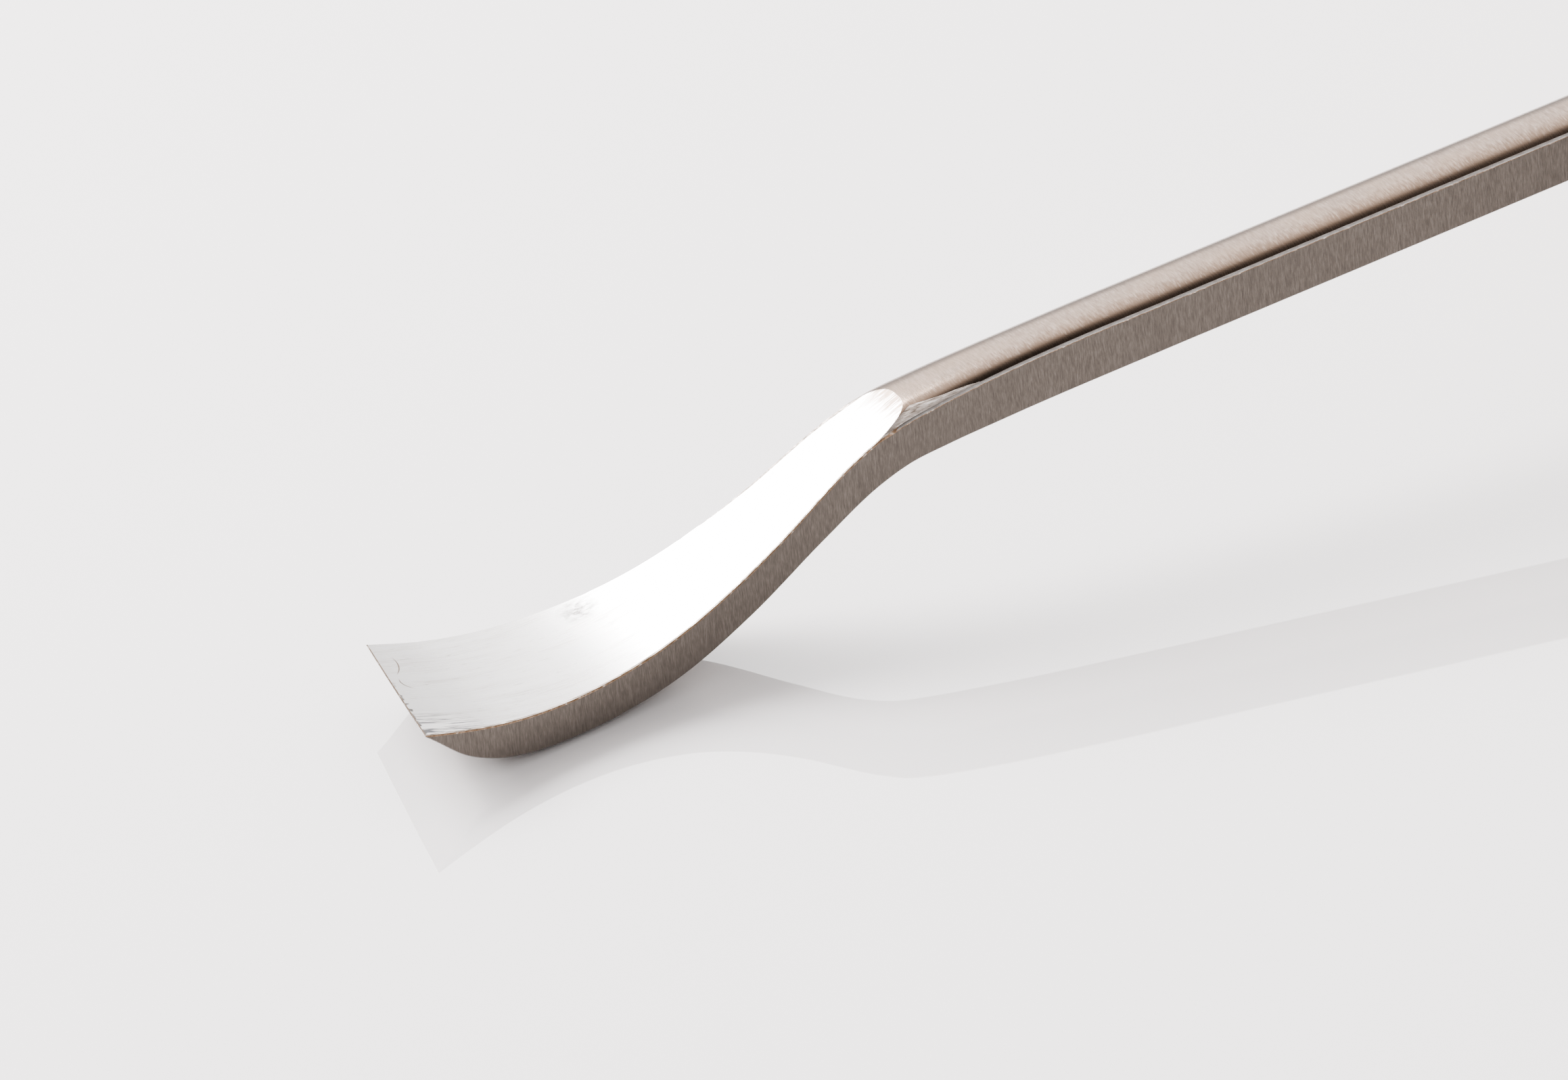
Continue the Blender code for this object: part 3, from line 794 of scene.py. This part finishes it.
def make_handle():
    """The turned palm handle: a spigot in the ferrule, a waist, a swelling body and a flattened dome."""
    spigot = FERRULE_RADIUS - FERRULE_WALL - GAP
    start = FERRULE_FRONT + GAP
    radius = curve_through(HANDLE_BODY)
    shoulder, last = HANDLE_BODY[0][0], HANDLE_BODY[-1][0]
    profile = [(start, 0), (start, spigot - HANDLE_CHAMFER), (start + HANDLE_CHAMFER, spigot)]
    profile.append((shoulder, spigot))
    for k in range(CHAMFER_STEPS + 1):
        t = math.pi / 2 * k / CHAMFER_STEPS
        rise = radius(shoulder) - HANDLE_CHAMFER * (1 - math.sin(t))
        profile.append((shoulder + HANDLE_CHAMFER * (1 - math.cos(t)), rise))
    body_start = shoulder + HANDLE_CHAMFER
    for k in range(1, BODY_STEPS + 1):
        along = body_start + (last - body_start) * k / BODY_STEPS
        profile.append((along, radius(along)))
    for k in range(1, DOME_STEPS):
        t = math.sin(math.pi / 2 * k / DOME_STEPS)
        fall = (1 - t**DOME_POWER) ** (1 / DOME_POWER)
        profile.append((last + (HANDLE_END - last) * t, radius(last) * fall))
    profile.append((HANDLE_END, 0))
    shape = turned(profile, HANDLE_FRAME)
    everything = shape.verts[:] + shape.edges[:] + shape.faces[:]
    bench = {"plane_co": (0, 0, 0), "plane_no": (0, 0, 1)}
    flat = bmesh.ops.bisect_plane(shape, geom=everything, clear_inner=True, **bench)
    rim = [edge for edge in flat["geom_cut"] if isinstance(edge, bmesh.types.BMEdge)]
    bmesh.ops.contextual_create(shape, geom=rim)
    handle = new_piece("palm_handle", shape, [oiled_beech()])
    wide, high = slot_half_sizes()
    size = Vector((TANG_END + 2 * POCKET_OVERREACH, 2 * wide, 2 * high))
    pocket = bmesh.new()
    bmesh.ops.create_cube(pocket, size=1)
    bmesh.ops.scale(pocket, verts=pocket.verts, vec=size * MM)
    bmesh.ops.translate(pocket, verts=pocket.verts, vec=Vector((TANG_END / 2, 0, 0)) * MM)
    bmesh.ops.transform(pocket, verts=pocket.verts, matrix=HANDLE_FRAME)
    carve(handle, pocket)
    carve(handle, turned(rod(2 * FERRULE_RADIUS, PIN_RADIUS + PIN_FIT), PIN_FRAME))
    hand_over(handle, "handle")


def make_pin():
    """A plain pin with low domed ends."""
    half = FERRULE_RADIUS + PIN_RISE
    dome = []
    for k in range(PIN_STEPS + 1):
        t = math.pi / 2 * k / PIN_STEPS
        dome.append((half - PIN_DOME * (1 - math.cos(t)), PIN_RADIUS * math.sin(t)))
    profile = [(-along, radius) for along, radius in dome] + list(reversed(dome))
    hand_over(new_piece("domed_pin", turned(profile, PIN_FRAME), [pin_steel()]), "cross_pin")


make_blade()
make_ferrule()
make_handle()
make_pin()

# ---------------------------------------------------------------- stage, light and camera

# Brightness of the studio walls: (sine of the elevation, brightness)
WALL_BRIGHTNESS = [(0.0, 0.2), (0.25, 0.45), (0.42, 1.0), (0.8, 1.0), (0.88, 0.7), (0.93, 0.24),
                   (0.97, 0.01)]
WALL_TINT = (1.0, 0.98, 0.975)
WALL_STRENGTH = 3.9
FRONT_SHARE = 0.18
FRONT_FADE = (-0.6, 0.4)
FLOOR_HALF_SIZE = 3.0

VIEW_AZIMUTH = 24.32
VIEW_ELEVATION = 30.5
VIEW_ROLL = -4.61
VIEW_DISTANCE = 600.0
VIEW_LENS = 310.6
AIM_ALONG, AIM_ACROSS = 22.86, 6.54


def make_camera():
    camera = bpy.data.objects.new("camera", bpy.data.cameras.new("camera"))
    bpy.context.scene.collection.objects.link(camera)
    azimuth, elevation = math.radians(VIEW_AZIMUTH), math.radians(VIEW_ELEVATION)
    forward = Vector((
        math.sin(azimuth) * math.cos(elevation),
        math.cos(azimuth) * math.cos(elevation),
        -math.sin(elevation),
    ))
    aim = BLADE_FRAME.translation / MM + Vector((AIM_ALONG, AIM_ACROSS, 0))
    upright = forward.to_track_quat("-Z", "Y").to_matrix().to_4x4()
    turn = upright @ Matrix.Rotation(math.radians(VIEW_ROLL), 4, "Z")
    camera.matrix_world = Matrix.Translation((aim - forward * VIEW_DISTANCE) * MM) @ turn
    camera.data.lens = VIEW_LENS
    camera.data.clip_start, camera.data.clip_end = 0.01, 10
    bpy.context.scene.camera = camera


def softbox(name, azimuth, elevation, distance, size, radiance):
    """An area light aimed at the tool; azimuth 0 is over +X and 90 over +Y; sizes in metres."""
    light = bpy.data.lights.new(name, "AREA")
    light.shape = "RECTANGLE"
    light.size, light.size_y = size
    light.energy = radiance * math.pi * size[0] * size[1]
    lamp = bpy.data.objects.new(name, light)
    bpy.context.scene.collection.objects.link(lamp)
    a, e = math.radians(azimuth), math.radians(elevation)
    place = Vector((math.cos(a) * math.cos(e), math.sin(a) * math.cos(e), math.sin(e))) * distance
    turn = (-place).to_track_quat("-Z", "Y").to_matrix().to_4x4()
    lamp.matrix_world = Matrix.Translation(place) @ turn


def make_floor():
    """White acrylic sheet: pale, smooth and glossy."""
    n = Nodes("white_acrylic", Matrix.Identity(4))
    cloud = n.noise((0.01, 0.01, 0.01), detail=2)
    colour = n.ramp(cloud, [(0.3, (0.895, 0.85, 0.848)), (0.7, (0.92, 0.875, 0.873))])
    shape = bmesh.new()
    bmesh.ops.create_grid(shape, x_segments=4, y_segments=4, size=FLOOR_HALF_SIZE)
    new_piece("floor", shape, [n.finish(Base_Color=colour, Roughness=0.02, IOR=2.6)])


def make_walls():
    """Studio walls: brightest from 25 to 53 degrees up, dark overhead and dimmer on the near side."""
    world = bpy.data.worlds.new("studio")
    bpy.context.scene.world = world
    world.use_nodes = True
    tree = world.node_tree
    background = tree.nodes["Background"]
    direction = tree.nodes.new("ShaderNodeTexCoord")
    split = tree.nodes.new("ShaderNodeSeparateXYZ")
    ramp = tree.nodes.new("ShaderNodeValToRGB")
    tree.links.new(direction.outputs["Generated"], split.inputs[0])
    tree.links.new(split.outputs["Z"], ramp.inputs["Fac"])
    depth = tree.nodes.new("ShaderNodeMapRange")
    depth.inputs["From Min"].default_value, depth.inputs["From Max"].default_value = FRONT_FADE
    depth.inputs["To Min"].default_value = FRONT_SHARE
    tree.links.new(split.outputs["Y"], depth.inputs["Value"])
    fade = tree.nodes.new("ShaderNodeVectorMath")
    fade.operation = "SCALE"
    tree.links.new(ramp.outputs["Color"], fade.inputs[0])
    tree.links.new(depth.outputs["Result"], fade.inputs["Scale"])
    tree.links.new(fade.outputs["Vector"], background.inputs["Color"])
    band = ramp.color_ramp.elements
    while len(band) < len(WALL_BRIGHTNESS):
        band.new(0.5)
    for element, (at, value) in zip(band, WALL_BRIGHTNESS):
        element.position = at
        element.color = (*(value * tint for tint in WALL_TINT), 1)
    background.inputs["Strength"].default_value = WALL_STRENGTH


make_floor()
make_walls()
make_camera()
softbox("back_softbox", 116, 38, 0.45, (0.36, 0.24), 33)
softbox("front_softbox", -90, 42, 0.8, (0.8, 0.25), 2.5)
